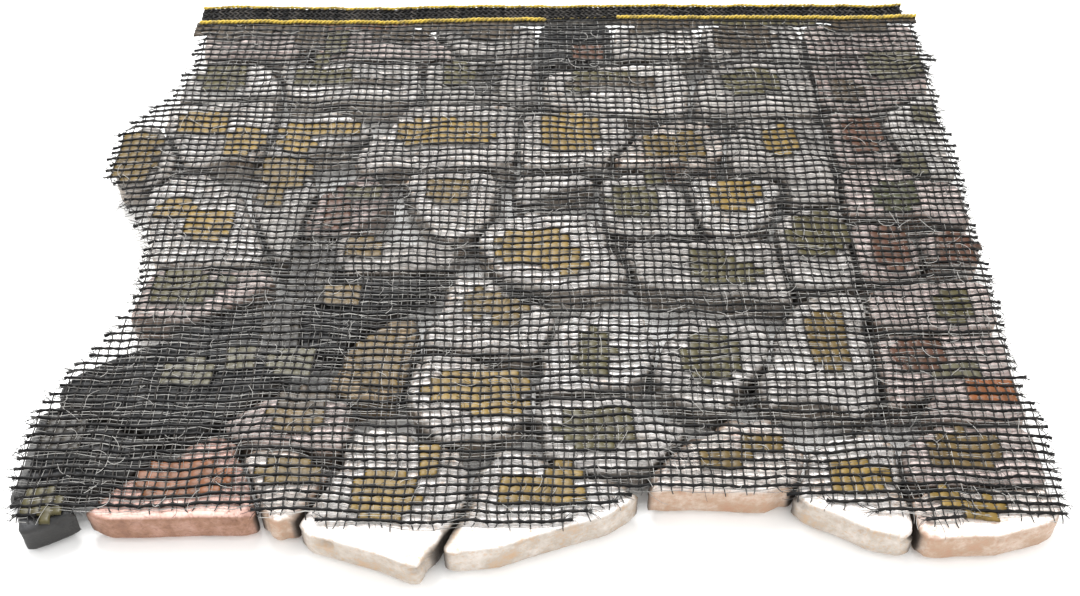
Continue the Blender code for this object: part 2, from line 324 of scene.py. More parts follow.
# %% Wear
FINE_MM = 0.8
PLAIN_MM = 1.25
NEAR_EDGE_DOWN = 236.0
JOINT_REACH = 8.0 * MM
JOINT_LEFT = 0.7 * MM
MOST_SWELL = 2.4 * MM
EDGE_SWELLS = (3.0 * MM, 2.0 * MM, 1.0 * MM)
EDGE_OVERLAP = 1.5 * MM
FAR_ROW_DOWN = 17.0
RIGHT_ROW_ACROSS = 141.0
WEAR_MM = ((15.0, 0.30), (4.0, 0.26), (1.6, 0.14))
CHIP_MM = 7.0
SAWN_WEAR = 0.12
SIDE_WEAR = 1.15
right_row_x, far_row_y = on_plan(RIGHT_ROW_ACROSS, FAR_ROW_DOWN)
near_edge_y = on_plan(0.0, NEAR_EDGE_DOWN)[1]


def edge_swell(place, outward):
    """How far a side at the selvedge or at the right edge can swell and still be under the net."""
    far = outward.y > 0.6 and place.y > far_row_y
    right = outward.x > 0.6 and place.x > right_row_x
    if far or right:
        for swell in EDGE_SWELLS:
            beyond = place + outward * (swell + EDGE_OVERLAP)
            if top_of(net_tree, beyond.x, beyond.y) is not None:
                return swell
    return 0.0


def remeshed(name, skin, voxel):
    """The skin made of even faces of one size."""
    mesh = bpy.data.meshes.new(name)
    skin.to_mesh(mesh)
    block = new_object(name, mesh)
    remesh = block.modifiers.new("remesh", "REMESH")
    remesh.mode = "VOXEL"
    remesh.voxel_size = voxel
    return modified(block)


def smoothed(points, edges, share):
    """Each point moved by a share, or its own share, towards the middle of its neighbours."""
    total = np.zeros_like(points)
    count = np.zeros(len(points))
    for a, b in ((0, 1), (1, 0)):
        np.add.at(total, edges[:, a], points[edges[:, b]])
        np.add.at(count, edges[:, a], 1)
    return points + np.reshape(share, (-1, 1)) * (total / count[:, None] - points)


def wear_depth(place, normal, height, back):
    """How deep the stone is worn at one point, in metres."""
    side = 1.0 - abs(normal.z)
    sawn = normal.z > 0.9 and height > back - 1.5 * MM
    depth = sum(share * (0.5 + 0.5 * noise.noise(place / (size * MM))) for size, share in WEAR_MM)
    if side > 0.25 and height > back - 3.5 * MM:
        depth += 2.2 * max(0.0, noise.noise(place / (CHIP_MM * MM) + Vector((9.0, 0.0, 4.0))) - 0.25)
    return depth * MM * (SAWN_WEAR if sawn else 0.45 + SIDE_WEAR * side)


def worn_stone(name, node, chance):
    """The stone's fine mesh, with its tone and the walls of its joints marked."""
    low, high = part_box(name)
    skin = joined_skin(node)
    voxel = (FINE_MM if low[1] < near_edge_y else PLAIN_MM) * MM
    mesh = remeshed(name + "_worn", skin, voxel)
    skin.free()
    points = np.empty(len(mesh.vertices) * 3)
    mesh.vertices.foreach_get("co", points)
    points = points.reshape(-1, 3)
    edges = np.empty(len(mesh.edges) * 2, np.int64)
    mesh.edges.foreach_get("vertices", edges)
    edges = edges.reshape(-1, 2)
    back = high[2]
    tumbled = np.clip((back - points[:, 2]) / (6 * MM), 0.3, 1.0)
    for _ in range(2):
        points = smoothed(points, edges, 0.6 * tumbled)
    mesh.vertices.foreach_set("co", points.ravel())
    mesh.update()
    joints = np.zeros(len(points))
    sides = np.zeros(len(points))
    swell = np.zeros_like(points)
    for at, vertex in enumerate(mesh.vertices):
        place = vertex.co.copy()
        normal = vertex.normal.copy()
        outward = Vector((normal.x, normal.y, 0.0))
        steep = outward.length
        sides[at] = min(1.0, max(0.0, 3.0 * steep - 1.2))
        if steep > 0.35:
            outward.normalize()
            hit = stones_tree.ray_cast(place + outward * 0.7 * MM, outward, JOINT_REACH)[0]
            if hit is not None:
                free = (hit - place).length
                swell[at] = outward * min(MOST_SWELL, max(0.0, 0.5 * (free - JOINT_LEFT)))
                joints[at] = steep > 0.75
            else:
                swell[at] = outward * edge_swell(place, outward)
        points[at] = place - normal * wear_depth(place, normal, place.z, back)
    for _ in range(2):
        joints = smoothed(joints[:, None], edges, 0.5)[:, 0]
    for _ in range(3):
        swell = smoothed(swell, edges, 0.7)
    points += swell
    points[:, 2] = np.clip(points[:, 2], 0.0, back)
    mesh.vertices.foreach_set("co", points.ravel())
    mesh.update()
    mesh.shade_smooth()
    # "joint" marks the walls of the joints, which the marble darkens as painted shade.
    set_attribute(mesh, "joint", joints)
    set_attribute(mesh, "side", sides)
    set_attribute(mesh, "tone", np.full(len(points), chance.random()))
    return mesh


# %% Replace each solid by its worn stone
chance = random.Random(4)
for name, node in sorted(stone_nodes.items()):
    kind = name.split("_stone_")[0]
    stone = new_piece(name + "_worn", worn_stone(name, node, chance), stone_materials[kind])
    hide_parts(name)

# %% [markdown]
# ## How the net lies
#
# The net is draped over the stones' backs. It touches them where glue holds it, spans the joints, and
# stands a little proud where it is loose. A cloth simulation could find that, but a taut net is
# simpler than cloth: its height is what is left when every point of a grid is pulled, a few hundred
# times, towards the mean of its neighbours and a little down, and is never let through a stone.

# %% Glue dabs on the plan
# For each colour of glue, its dabs. Each is a rough oval: from and to across, from and to down.
# The long ones that start less than 8 down are glue wiped along the selvedge. Two of the dark ones
# are painted shade: near-black glue laid over wide joints to darken the holes there.
DABS = {
    "brown": (
        (-131, -120, 13, 21), (-66, -45, 12, 22), (-32, -9, 11, 20), (37, 48, 10, 18),
        (70, 94, 10, 28), (116, 143, 8, 16), (-72, -54, 44, 49), (9, 46, 44, 50),
        (112, 125, 45, 60), (-143, -96, 7, 16), (-56, -8, 6, 13), (32, 72, 4, 12),
        (108, 155, 2, 10), (-98, -86, 8, 26), (-84, -66, 200, 209),
    ),
    "olive": (
        (-88, -76, 14, 30), (-133, -114, 36, 52), (-98, -72, 38, 50), (-90, -84, 30, 38),
        (-38, -26, 35, 50), (12, 38, 39, 46), (9, 20, 50, 54), (72, 93, 40, 55),
        (-70, -58, 106, 114), (24, 42, 106, 122), (38, 44, 98, 107), (-132, -110, 149, 163),
        (51, 66, 138, 155), (64, 75, 145, 155), (87, 108, 120, 142), (-155, -142, 238, 250),
        (11, 24, 175, 196), (46, 64, 176, 198), (131, 146, 158, 172), (5, 30, 208, 223),
        (66, 112, 3, 11),
    ),
    "russet": (
        (13, 25, 23, 34), (114, 128, 68, 88), (-78, -67, 108, 129), (115, 128, 127, 148),
        (137, 152, 131, 145), (114, 131, 180, 193), (-100, -52, 6, 14),
    ),
    # Two of these dabs are painted shade over wide joints.
    "dark": (
        (-26, -15, 35, 52), (-155, -140, 212, 226), (-12, 36, 5, 12), (-87, -69, 132, 165),
        (-93, -78, 160, 188),
    ),
    "pale": (
        (128, 150, 27, 45), (141, 152, 60, 72), (134, 143, 87, 100), (-111, -103, 150, 156),
        (-120, -104, 188, 200), (-103, -91, 184, 192), (-89, -72, 183, 195), (126, 142, 189, 197),
    ),
    "ochre": (
        (-157, -141, 77, 104), (37, 62, 77, 92), (-103, -84, 90, 107), (-101, -91, 107, 117),
        (-42, -25, 102, 115), (-26, -13, 157, 170), (-16, -5, 160, 174), (88, 101, 166, 193),
        (47, 64, 224, 231), (61, 75, 219, 226), (-85, -66, 228, 238),
    ),
    "yellow": (
        (-138, -117, 64, 78), (-118, -103, 74, 90), (-98, -68, 71, 80), (-98, -84, 79, 88),
        (-55, -18, 69, 85), (0, 22, 66, 88), (82, 96, 74, 90), (-137, -122, 114, 124),
        (-126, -108, 120, 134), (61, 80, 103, 118), (-15, 9, 129, 138), (-15, 16, 136, 146),
        (0, 16, 144, 150), (-37, -4, 193, 207), (-24, -4, 203, 212), (86, 107, 229, 240),
        (-57, -36, 230, 250), (-37, -31, 222, 236), (-13, 13, 235, 246), (2, 13, 229, 236),
        (117, 125, 238, 246), (124, 137, 242, 250),
    ),
    "green": ((119, 137, 104, 120),),
    "tan": (
        (-68, -54, 133, 143), (-75, -60, 154, 166), (-60, -44, 178, 200), (119, 141, 217, 232),
        (-84, -67, 205, 218),
    ),
    "orange": ((134, 151, 196, 207), (-121, -92, 228, 242)),
}
# The dark tint is near-black; on the two dabs over wide joints it is painted shade.
GLUE_TINTS = {
    "yellow": "#776028", "ochre": "#5c4a20", "brown": "#3a2f22", "olive": "#433e21",
    "russet": "#4a2d1f", "dark": "#0f0e0c", "pale": "#4e4b39", "tan": "#5c4a26",
    "orange": "#74421f", "green": "#33361f",
}
OVAL_POWER = 2.6
RAGGED = 0.35
RAGGED_MM = 4.0


def glue_at(across, down):
    """How deep inside a dab a place is, from 0 at its rim to 1, and that dab's colour."""
    ragged = RAGGED * noise.noise(Vector((across / RAGGED_MM, down / RAGGED_MM, 7.0)))
    best = (0.0, None)
    for tint, ovals in DABS.items():
        for left, right, far, near in ovals:
            u = (2 * across - left - right) / (right - left)
            v = (2 * down - far - near) / (near - far)
            inside = 1.0 - (abs(u) ** OVAL_POWER + abs(v) ** OVAL_POWER) + ragged
            best = max(best, (inside, tint), key=lambda pair: pair[0])
    return best


print("glue dabs:", sum(len(ovals) for ovals in DABS.values()))

# %% Heights of the draped net
STEP_MM = 1.6
SPAN_MM = (-163.0, 161.0, -8.0, 262.0)
NEAR_STONE = 0.35 * MM
SLACK = 1.1 * MM
SLACK_MM = 16.0
FIRST_HEIGHT = 13.5 * MM
SAG = 0.004 * MM
PASSES = 250

across_mm = np.arange(SPAN_MM[0], SPAN_MM[1], STEP_MM)
down_mm = np.arange(SPAN_MM[2], SPAN_MM[3], STEP_MM)


def slack_at(across, down):
    """How far the loose net stands off the stone: most in a few broad ripples."""
    swell = noise.noise(Vector((across / SLACK_MM, down / SLACK_MM, 3.0)))
    return SLACK * max(0.0, 0.35 + swell)


tops = [[top_of(stones_tree, *on_plan(a, d)) or 0.0 for a in across_mm] for d in down_mm]
support = np.array(tops)
pressed = np.array([[glue_at(a, d)[0] > 0.0 for a in across_mm] for d in down_mm])
slack = np.array([[slack_at(a, d) for a in across_mm] for d in down_mm])
floor_of_net = np.where(support > 0.0, support + NEAR_STONE + np.where(pressed, 0.0, slack), 0.0)

height = np.full(support.shape, FIRST_HEIGHT)
for _ in range(PASSES):
    padded = np.pad(height, 1, mode="edge")
    mean = (padded[:-2, 1:-1] + padded[2:, 1:-1] + padded[1:-1, :-2] + padded[1:-1, 2:]) / 4
    height = np.maximum(mean - SAG, floor_of_net)
print("net heights, mm:", round(height.min() / MM, 2), "to", round(height.max() / MM, 2))


def net_height(across, down):
    """Height of the draped net at places on the plan, between its grid points."""
    u = np.clip((np.asarray(across) - across_mm[0]) / STEP_MM, 0, len(across_mm) - 1.001)
    v = np.clip((np.asarray(down) - down_mm[0]) / STEP_MM, 0, len(down_mm) - 1.001)
    i, j = v.astype(int), u.astype(int)
    s, t = v - i, u - j
    near = height[i, j] * (1 - t) + height[i, j + 1] * t
    far = height[i + 1, j] * (1 - t) + height[i + 1, j + 1] * t
    return near * (1 - s) + far * s


# %% [markdown]
# ## Where the threads cross
#
# The net is knitted: stout chains run across the sheet, and thinner threads run from the selvedge
# to the near edge and are caught in every chain. The pitch is 3.2 mm both ways. No row is quite
# straight, so every crossing wanders a little, with its neighbours and by itself.

# %% Edges of the selvedge
BAND_ENDS = (-139.0, 150.0)
UPPER_EDGE = (-1.4, -3.6)
LOWER_EDGE = ((-139.0, 9.0), (0.0, 7.4), (30.0, 6.6), (155.0, 4.2))


def upper_edge(across):
    """How far down the plan the band's far edge is."""
    return float(np.interp(across, BAND_ENDS, UPPER_EDGE))


def lower_edge(across):
    """How far down the plan the band's near edge is."""
    return float(np.interp(across, *zip(*LOWER_EDGE)))


# %% Crossings
PITCH_MM = 3.2
COLUMNS = 98
ROWS = 79
FIRST_ROW_DOWN = 4.2
FIRST_COLUMN_ACROSS = -156.4
WANDER_MM = ((48.0, 1.6), (13.0, 0.9), (2.6, 0.42))

# Without a seed of its own, noise_vector would start from the clock.
noise.seed_set(11)


def wander(across, down):
    """The place on the plan that a crossing has drifted to."""
    drift = Vector((0.0, 0.0, 0.0))
    for size, amount in WANDER_MM:
        drift += amount * noise.noise_vector(Vector((across / size, down / size, size)))
    return across + drift.x, down + drift.y


def over_net(across, down):
    """Whether the net's solid covers a place on the plan."""
    return top_of(net_tree, *on_plan(across, down)) is not None


columns_across = [FIRST_COLUMN_ACROSS + PITCH_MM * column for column in range(COLUMNS)]
rows_down = [FIRST_ROW_DOWN + PITCH_MM * row for row in range(ROWS)]
crossing = np.array([[wander(across, down) for across in columns_across] for down in rows_down])


def in_meshes(across, down):
    """Whether a place is in the open part of the net, past the selvedge."""
    return over_net(across, down) and down > lower_edge(across) - 0.5 * PITCH_MM


knitted = np.array([[in_meshes(*place) for place in row] for row in crossing])
print("crossings in the net:", int(knitted.sum()))

# %% [markdown]
# ## Threads with Geometry Nodes
#
# Every thread here is the same thing at another size: a line of points with a round section, thicker
# where it is knotted, a little uneven along its length, and thinner towards a frayed end. So one
# node tree makes them all. Its guide is a mesh of edges only; its inputs are the radius, the swelling
# at the knots, how much it wobbles and how much it tapers.

# %% The thread tree
THREAD_INPUTS = {
    "Geometry": ("Guide",),
    "Float": ("Radius", "Knot swell", "Wobble", "Taper", "Seed"),
    "Int": ("Cuts", "Sides"),
    "Material": ("Material",),
}
WOBBLE_MM = 1.7


def thread_tree():
    """The node tree that turns a guide into a thread."""
    tree = bpy.data.node_groups.new("thread along a guide", "GeometryNodeTree")
    for kind, names in THREAD_INPUTS.items():
        for name in names:
            tree.interface.new_socket(name=name, in_out="INPUT", socket_type="NodeSocket" + kind)
    tree.interface.new_socket(name="Thread", in_out="OUTPUT", socket_type="NodeSocketGeometry")
    add = partial(add_node, tree)
    given = add("NodeGroupInput").outputs
    line = add("GeometryNodeMeshToCurve", links={"Mesh": given["Guide"]})
    fine = add("GeometryNodeSubdivideCurve", links={"Curve": line, "Cuts": given["Cuts"]})
    place = add("GeometryNodeInputPosition")
    uneven = add(
        "TexNoise", {"noise_dimensions": "4D", "Scale": 1 / (WOBBLE_MM * MM), "Detail": 1.0},
        {"Vector": place, "W": given["Seed"]})
    centred = add(
        "VectorMath", {"operation": "SUBTRACT", 1: (0.5, 0.5, 0.5)}, {0: uneven.outputs["Color"]})
    shift = add("VectorMath", {"operation": "SCALE"}, {0: centred, "Scale": given["Wobble"]})
    moved = add("GeometryNodeSetPosition", links={"Geometry": fine, "Offset": shift})
    along = add("GeometryNodeSplineParameter").outputs
    period = add("Math", {"operation": "ADD", 1: 1.0}, {0: given["Cuts"]})
    phase = add("Math", {"operation": "MODULO"}, {0: along["Index"], 1: period})
    at_knot = add("Math", {"operation": "LESS_THAN", 1: 0.5}, {0: phase})
    swell = add("Math", {"operation": "MULTIPLY_ADD", 2: 1.0}, {0: at_knot, 1: given["Knot swell"]})
    thinning = add("Math", {"operation": "MULTIPLY"}, {0: along["Factor"], 1: given["Taper"]})
    left = add("Math", {"operation": "SUBTRACT", 0: 1.0}, {1: thinning})
    girth = add("Math", {"operation": "MULTIPLY"}, {0: swell, 1: left})
    radius = add("Math", {"operation": "MULTIPLY"}, {0: girth, 1: given["Radius"]})
    section = add("GeometryNodeCurvePrimitiveCircle", links={"Resolution": given["Sides"]})
    tube = add(
        "GeometryNodeCurveToMesh", {"Fill Caps": True},
        {"Curve": moved, "Profile Curve": section, "Scale": radius})
    smooth = add("GeometryNodeSetShadeSmooth", links={"Geometry": tube})
    whole = add("GeometryNodeRealizeInstances", links={"Geometry": smooth})
    dressed = add(
        "GeometryNodeSetMaterial", links={"Geometry": whole, "Material": given["Material"]})
    add("NodeGroupOutput", links={"Thread": dressed})
    return tree


threads_along = thread_tree()


def guide_mesh(name, lines, shades):
    """A mesh of edges only, one run for each line, with one shade for all or one for each."""
    shades = shades if isinstance(shades, list) else [shades] * len(lines)
    points = [point for line in lines for point in line]
    edges = []
    start = 0
    for line in lines:
        edges += [(at, at + 1) for at in range(start, start + len(line) - 1)]
        start += len(line)
    mesh = bpy.data.meshes.new(name)
    mesh.from_pydata(points, edges, [])
    set_attribute(mesh, "shade", [shade for line, shade in zip(lines, shades) for _ in line])
    return mesh


def threads(name, lines, shades, material, **sizes):
    """The mesh of the threads that run along some lines.

    The sizes are the tree's inputs by name; those that aren't given are 0.
    """
    holder = new_object(name, guide_mesh(name + "_guide", lines, shades))
    modifier = holder.modifiers.new("threads", "NODES")
    modifier.node_group = threads_along
    given = {key.replace("_", " ").capitalize(): value for key, value in sizes.items()}
    given["Material"] = material
    for socket in threads_along.interface.items_tree:
        if socket.name in given:
            modifier[socket.identifier] = given[socket.name]
    return modified(holder)


print("thread tree:", len(threads_along.nodes), "nodes")

# %% [markdown]
# ## Plastic of the net
#
# The net is knitted from black polyethylene tape and monofilament. It is nearly black, with a waxy
# gloss that shows as a grey line along each thread, and it is dusted with stone flour. The "shade"
# attribute makes threads paler, each by its own share, up to a silvery grey: painted sheen, standing
# for the glints of thin glossy threads.

# %% Net materials
DUST_MM = 6.0


def net_plastic(name, dark, light, roughness):
    """Waxy plastic with dust in patches, and paler, as painted sheen, where the thread's shade is high.
    """
    material, add, shader, place = new_material(name, roughness, 1.51)
    shader.inputs["Specular IOR Level"].default_value = 0.18
    shade = add("Attribute", {"attribute_name": "shade"}).outputs["Fac"]
    patch = add(
        "TexNoise", {"Scale": 1 / (DUST_MM * MM), "Detail": 7.0, "Roughness": 0.75},
        {"Vector": place})
    dust = add("MapRange", {"From Min": 0.48, "From Max": 0.8, "To Max": 0.5}, {"Value": patch})
    amount = add("Math", {"operation": "ADD"}, {0: dust, 1: shade})
    colour = add("Mix", {"data_type": "RGBA", 6: linear(dark), 7: linear(light)}, {0: amount})
    dress(shader, colour)
    return material


chain_plastic = net_plastic("polyethylene tape, knitted", "#040405", "#3a3632", 0.45)
# The monofilament's light colour is a silvery grey of painted sheen.
filament_plastic = net_plastic("polyethylene monofilament, drawn", "#070708", "#a9a7a3", 0.36)
print("net materials made")

# %% The knitted net
CHAIN_RADIUS = 0.5 * MM
CHAIN_LIFT = 0.25 * MM
FILAMENT_RADIUS = 0.24 * MM
TAIL_MM = (0.8, 3.4)
OVER = 0.15 * MM
UNDER = -0.1 * MM


def placed(across, down, lift):
    """A scene point on the draped net."""
    x, y = on_plan(across, down)
    return Vector((x, y, float(net_height(across, down)) + lift))


def runs(covered):
    """The stretches of consecutive covered places, as pairs of first and last."""
    found = []
    start = None
    for at, inside in enumerate([*covered, False]):
        if inside and start is None:
            start = at
        if not inside and start is not None:
            if at - start > 1:
                found.append((start, at - 1))
            start = None
    return found


row_runs = [(row, *run) for row in range(ROWS) for run in runs(knitted[row])]
column_runs = [(column, *run) for column in range(COLUMNS) for run in runs(knitted[:, column])]

chance = random.Random(8)
chain_lines = []
for row, first, last in row_runs:
    line = [placed(*crossing[row, at], CHAIN_LIFT) for at in range(first, last + 1)]
    for end, inner, place in ((first, first + 1, 0), (last, last - 1, len(line) + 1)):
        step = (crossing[row, end] - crossing[row, inner]) / PITCH_MM
        tail = crossing[row, end] + step * chance.uniform(*TAIL_MM)
        line.insert(place, placed(*tail, CHAIN_LIFT - chance.uniform(0.0, 0.8) * MM))
    chain_lines.append(line)
filament_lines = []
for column, first, last in column_runs:
    line = []
    for at in range(first, last + 1):
        lift = OVER if (at + column) % 2 else UNDER
        line.append(placed(*crossing[at, column], CHAIN_LIFT + lift))
    filament_lines.append(line)
chance = random.Random(12)
# Painted sheen: each filament is paler by a share of its own.
filament_sheen_shares = [chance.uniform(0.15, 0.85) for _ in filament_lines]
chains = threads(
    "chains", chain_lines, 0.0, chain_plastic,
    radius=CHAIN_RADIUS, knot_swell=0.5, wobble=0.9 * MM, cuts=1, sides=4, seed=1.0,
)
filaments = threads(
    "filaments", filament_lines, filament_sheen_shares, filament_plastic,
    radius=FILAMENT_RADIUS, wobble=0.4 * MM, sides=4, seed=2.0,
)
print("net triangles:", 2 * (len(chains.polygons) + len(filaments.polygons)))

# %% [markdown]
# ## Fine filaments
#
# Splinters of the slit tape run beside the chains and the filaments. As a part of the thread's own
# section they would never part from it, so they are threads, led by noise along the crossings.

# %% Fine filaments beside the chains
FINE_RADIUS = 0.11 * MM
FINE_SWAY_MM = 14.0
FINE_SWAY = 1.1
BESIDE_CHAINS_MM = (1.0, 2.1)
BESIDE_FILAMENTS_MM = 1.0


def beside(places, shift_across, shift_down, number):
    """A line that keeps beside a run of crossings, now nearer and now farther."""
    line = []
    for across, down in places:
        sway = noise.noise(Vector((across / FINE_SWAY_MM, down / FINE_SWAY_MM, number)))
        part = 1.0 + FINE_SWAY * sway
        line.append(placed(across + shift_across * part, down + shift_down * part, CHAIN_LIFT))
    return line


chance = random.Random(45)
fine_lines = []
for row, first, last in row_runs:
    for shift in BESIDE_CHAINS_MM:
        fine_lines.append(beside(crossing[row, first : last + 1], 0.0, shift, 7.0 * row + shift))
for column, first, last in column_runs:
    places = crossing[first : last + 1, column]
    fine_lines.append(beside(places, BESIDE_FILAMENTS_MM, 0.0, 900.0 + 5.0 * column))
# The fine filaments' shades are painted sheen as well.
fine = threads(
    "fine_filaments", fine_lines, [chance.uniform(0.1, 0.9) for _ in fine_lines], filament_plastic,
    radius=FINE_RADIUS, wobble=0.8 * MM, sides=3, seed=2.5,
)
fine_net = new_piece("fine_filaments", fine, filament_plastic)
print("fine filaments:", len(fine_lines), "with", len(fine.polygons), "faces")

# %% [markdown]
# ## The selvedge
#
# Along the far edge the net ends in a dense knitted band between two yellow marker threads. The band
# is the same tape, knitted in close zigzags, and it narrows a little to the right. A flat strip with
# a picture of knitting would look flat from the side, so the band is made of its real zigzags, over
# a thin closed strip that stops the light between them.

# %% Selvedge band
BAND_STITCH_MM = 2.2
BAND_ROW_MM = 1.5
BAND_LIFT = 0.75 * MM
BAND_THICKNESS = 0.7 * MM
BAND_DROP = 0.95 * MM
STRIP_STEP_MM = 2.0
STRIP_SHARES = (0.04, 0.35, 0.65, 0.96)
# The stitches' shades make some of them paler: painted sheen.
STITCH_SHEEN_SHARES = (0.05, 0.25, 0.6, 1.0)


def band_strip():
    """A thin closed strip under the stitches."""
    places = np.arange(BAND_ENDS[0], BAND_ENDS[1], STRIP_STEP_MM)
    strip = bmesh.new()
    corners = []
    for share in STRIP_SHARES:
        for across in places:
            down = upper_edge(across) * (1 - share) + lower_edge(across) * share
            corners.append(strip.verts.new(placed(*wander(across, down), BAND_LIFT - BAND_DROP)))
    count = len(places)
    for row in range(len(STRIP_SHARES) - 1):
        for at in range(row * count, row * count + count - 1):
            ring = (at, at + count, at + count + 1, at + 1)
            strip.faces.new([corners[corner] for corner in ring])
    bmesh.ops.recalc_face_normals(strip, faces=strip.faces[:])
    everything = strip.faces[:] + strip.edges[:] + strip.verts[:]
    upper = bmesh.ops.extrude_face_region(strip, geom=everything)
    for thing in upper["geom"]:
        if isinstance(thing, bmesh.types.BMVert):
            thing.co.z += BAND_THICKNESS
    bmesh.ops.recalc_face_normals(strip, faces=strip.faces[:])
    mesh = bpy.data.meshes.new("band_strip")
    strip.to_mesh(mesh)
    strip.free()
    set_attribute(mesh, "shade", [0.0] * len(mesh.vertices))
    return mesh


zigzags = []
zigzag_sheen_shares = []
chance = random.Random(21)
for stitch in range(int((BAND_ENDS[1] - BAND_ENDS[0]) / BAND_STITCH_MM)):
    across = BAND_ENDS[0] + BAND_STITCH_MM * (stitch + 0.5)
    far, near = upper_edge(across), lower_edge(across)
    turns = int((near - far) / BAND_ROW_MM)
    line = []
    for turn in range(turns + 1):
        swing = 0.5 * BAND_STITCH_MM * (1 if turn % 2 else -1) * chance.uniform(0.7, 1.2)
        down = far + (near - far) * turn / turns
        line.append(placed(*wander(across + swing, down), BAND_LIFT + chance.uniform(0.0, 0.5) * MM))
    zigzags.append(line)
    zigzag_sheen_shares.append(chance.choice(STITCH_SHEEN_SHARES))
stitches = threads(
    "stitches", zigzags, zigzag_sheen_shares, filament_plastic,
    radius=0.36 * MM, wobble=0.5 * MM, cuts=1, sides=3, seed=3.0,
)
strip = band_strip()
print("selvedge:", len(zigzags), "zigzags,", len(stitches.polygons), "faces")


# %% One knitted net
def joined(name, meshes):
    """Several meshes as one, with a material slot for each."""
    whole = bmesh.new()
    for number, mesh in enumerate(meshes):
        first = len(whole.faces)
        whole.from_mesh(mesh)
        whole.faces.ensure_lookup_table()
        for face in whole.faces[first:]:
            face.material_index = number
    mesh = bpy.data.meshes.new(name)
    whole.to_mesh(mesh)
    whole.free()
    return mesh


net_mesh = joined("knitted_net", [chains, filaments, strip, stitches])
net = new_piece("knitted_net", net_mesh, *[chain_plastic, filament_plastic] * 2)
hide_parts("backing_net")
net.data.calc_loop_triangles()
print("knitted net:", len(net.data.loop_triangles), "triangles")

# %% [markdown]
# ## Marker threads
#
# Two yellow threads are knitted into the selvedge as a maker's guide for cutting. The lower one is a
# plump two-ply yarn, and the upper one is worn thin and hairy. A ply is a helix round the yarn's
# line, so two lines half a turn apart, run through the same thread tree, give the yarn its twist.

# %% Marker threads
YARN_TWIST_MM = 3.4
YARN_STEP_MM = 0.55
DIRT_MM = 5.0
LOWER_YARN_ENDS = ((-139.0, 3.0), (31.0, 155.0))
UPPER_YARN_IN_MM = 0.9
HAIR_COUNT = 520


def yarn_material():
    """Dyed spun polyester, with brown dirt worked into it."""
    material, add, shader, place = new_material("polyester yarn, spun and dyed", 0.8, 1.54)
    shader.inputs["Sheen Weight"].default_value = 0.4
    dirt = add(
        "TexNoise", {"Scale": 1 / (DIRT_MM * MM), "Detail": 7.0, "Roughness": 0.8},
        {"Vector": place})
    soiled = add("MapRange", {"From Min": 0.44, "From Max": 0.66, "To Max": 0.9}, {"Value": dirt})
    colour = add(
        "Mix", {"data_type": "RGBA", 6: linear("#b69a26"), 7: linear("#3d3219")}, {0: soiled})
    dress(shader, colour)
    return material


def yarn_lines(ends, down_of, girth, lift):
    """Two plies that wind round a line across the sheet."""
    count = int((ends[1] - ends[0]) / YARN_STEP_MM)
    plies = []
    for start in (0.0, math.pi):
        line = []
        for step in range(count):
            across = ends[0] + YARN_STEP_MM * step
            turn = start + 2 * math.pi * across / YARN_TWIST_MM
            down = down_of(across) + girth * math.cos(turn)
            line.append(placed(*wander(across, down), lift + girth * MM * math.sin(turn)))
        plies.append(line)
    return plies


yarn = yarn_material()
lower_plies = []
for ends in LOWER_YARN_ENDS:
    lower_plies += yarn_lines(ends, lower_edge, 0.42, BAND_LIFT + 0.3 * MM)


def on_upper_edge(across):
    """The upper yarn's place: just on the band, so that it isn't hidden behind it."""
    return upper_edge(across) + UPPER_YARN_IN_MM


upper_plies = yarn_lines(BAND_ENDS, on_upper_edge, 0.3, BAND_LIFT + 0.75 * MM)
hairs = []
chance = random.Random(33)
for _ in range(HAIR_COUNT):
    across = chance.uniform(*BAND_ENDS)
    down = upper_edge(across) if chance.random() < 0.6 else lower_edge(across)
    lean = chance.uniform(-math.pi, math.pi)
    reach = chance.uniform(0.8, 2.2)
    root = wander(across, down)
    hair = []
    for share in (0.0, 0.5, 1.0):
        along = root[0] + reach * share * math.cos(lean)
        off = root[1] + 0.5 * reach * share * math.sin(lean)
        hair.append(placed(along, off, BAND_LIFT + 0.5 * MM * (1 + share * chance.random())))
    hairs.append(hair)
yarn_meshes = [
    threads("lower yarn", lower_plies, 0.0, yarn, radius=0.48 * MM, wobble=0.3 * MM, sides=6, seed=4.0),
    threads("upper yarn", upper_plies, 0.0, yarn, radius=0.36 * MM, wobble=0.7 * MM, sides=5, seed=5.0),
    threads(
        "yarn hairs", hairs, 0.0, yarn,
        radius=0.07 * MM, wobble=0.4 * MM, cuts=1, sides=3, seed=6.0, taper=0.6,
    ),
]
markers = new_piece("marker_threads", joined("marker_threads", yarn_meshes), yarn, yarn, yarn)
print("marker threads:", len(markers.data.polygons), "faces")

# %% [markdown]
# ## Frayed ends and stray filaments
#
# Where the net is cut, its threads fray. On the left and right the chains end in bristles, and along
# the near edge each filament sticks out a little past the last chain. All over the net, thin
# filaments have worked loose and lie across the meshes. They are short curved lines with a fixed
# seed, and the thread tree gives them their section.

# %% Loose ends
LEFT_REACH_MM = 5.2
RIGHT_REACH_MM = 4.4
BRISTLE_RADIUS = 0.15 * MM
STRAY_COUNT = 1500
CUT_SHADE = 0.05


def curl(root, heading, length, bend, start, end, steps=5):
    """Scene points of a line that leaves root, turns as it goes, and rises from start to end."""
    across, down = root
    line = []
    for step in range(steps + 1):
        line.append(placed(across, down, CHAIN_LIFT + (start + (end - start) * (step / steps))))
        across += length / steps * math.cos(heading)
        down += length / steps * math.sin(heading)
        heading += bend / steps
    return line


